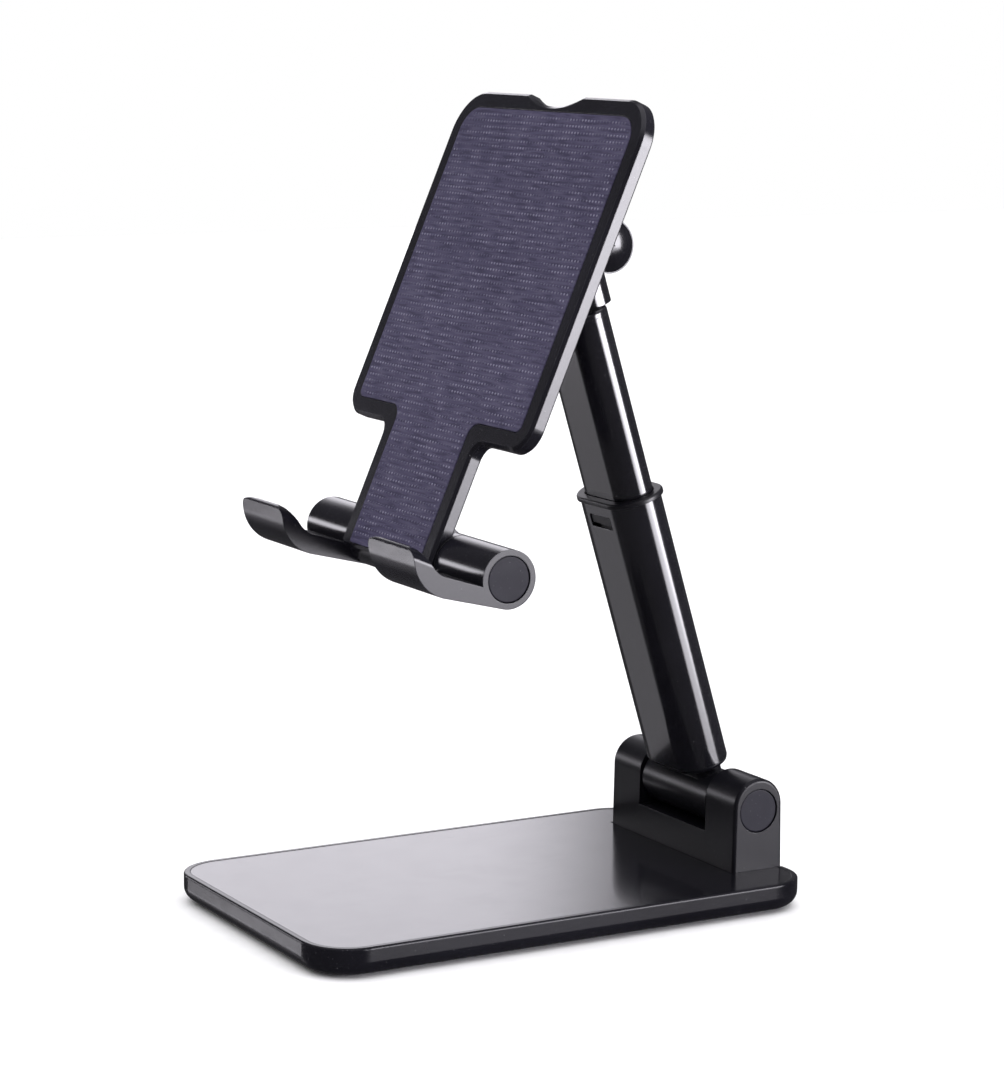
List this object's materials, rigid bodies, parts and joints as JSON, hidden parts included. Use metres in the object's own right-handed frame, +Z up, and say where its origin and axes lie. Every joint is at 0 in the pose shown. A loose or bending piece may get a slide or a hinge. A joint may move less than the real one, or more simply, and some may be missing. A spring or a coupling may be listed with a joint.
{
  "type": "phone stand",
  "caption": "Foldable desk stand for a phone: weighted base, telescoping arm, tilting padded plate and two folding support hooks.",
  "frame": {"origin": "centre of the base's footprint, on the surface the stand rests on", "axes": "+X to the user's right, -Y towards the user, +Z up"},
  "size_m": [0.083, 0.1251, 0.1828],
  "materials": {
    "moulded_base": "glossy black",
    "panel": "satin black",
    "moulded_arm": "glossy black",
    "moulded_plate": "satin black",
    "hook": "glossy black",
    "cap": "satin dark grey",
    "liner": "plain black",
    "silicone": "matt slate",
    "foam_rubber": "matt black",
    "cast_weight": "raw",
    "steel": "zinc plated"
  },
  "bodies": {
    "base": {"base_tray": "moulded_base", "top_panel": "panel", "counterweight": "cast_weight", "bottom_cover": "liner", "anti_slip_pad": "foam_rubber", "cover_screws": "steel", "hinge_bracket": "moulded_base", "bracket_screws": "steel", "lower_shaft": "steel", "lower_nut": "steel", "lower_washers": "liner", "lower_caps": "cap"},
    "lower_arm": {"lower_knuckle": "moulded_arm", "outer_tube": "moulded_arm", "collar": "liner", "knuckle_screws": "steel", "stop_tab": "liner"},
    "upper_arm": {"inner_tube": "moulded_arm", "slider_plug": "liner", "slider_pads": "foam_rubber", "slider_pin": "steel", "upper_knuckle": "moulded_arm", "knuckle_pin": "steel"},
    "plate": {"front_frame": "moulded_plate", "grip_pad": "silicone", "back_cover": "moulded_plate", "plate_screws": "steel", "upper_shaft": "steel", "upper_nut": "steel", "upper_washers": "liner", "upper_caps": "cap", "hook_shaft": "steel", "hook_nut": "steel", "hook_washers": "liner"},
    "left_hook": {"left_hook": "hook", "left_cap": "cap"},
    "right_hook": {"right_hook": "hook", "right_cap": "cap"}
  },
  "joints": [
    {"name": "arm_tilt", "type": "hinge", "parent": "base", "child": "lower_arm", "pos_m": [0, 0.0554, 0.0208], "axis": [1, 0, 0], "range_deg": [-17, 34]},
    {"name": "arm_slide", "type": "slide", "parent": "lower_arm", "child": "upper_arm", "axis": [0, 0.2974, -0.9548], "range_m": [0, 0.04]},
    {"name": "plate_tilt", "type": "hinge", "parent": "upper_arm", "child": "plate", "pos_m": [0, 0.01721, 0.15082], "axis": [1, 0, 0], "range_deg": [-60, 33]},
    {"name": "left_hook_fold", "type": "hinge", "parent": "plate", "child": "left_hook", "pos_m": [0, -0.01977, 0.08312], "axis": [-1, 0, 0], "range_deg": [0, 90]},
    {"name": "right_hook_fold", "type": "hinge", "parent": "plate", "child": "right_hook", "pos_m": [0, -0.01977, 0.08312], "axis": [-1, 0, 0], "range_deg": [0, 90]}
  ]
}
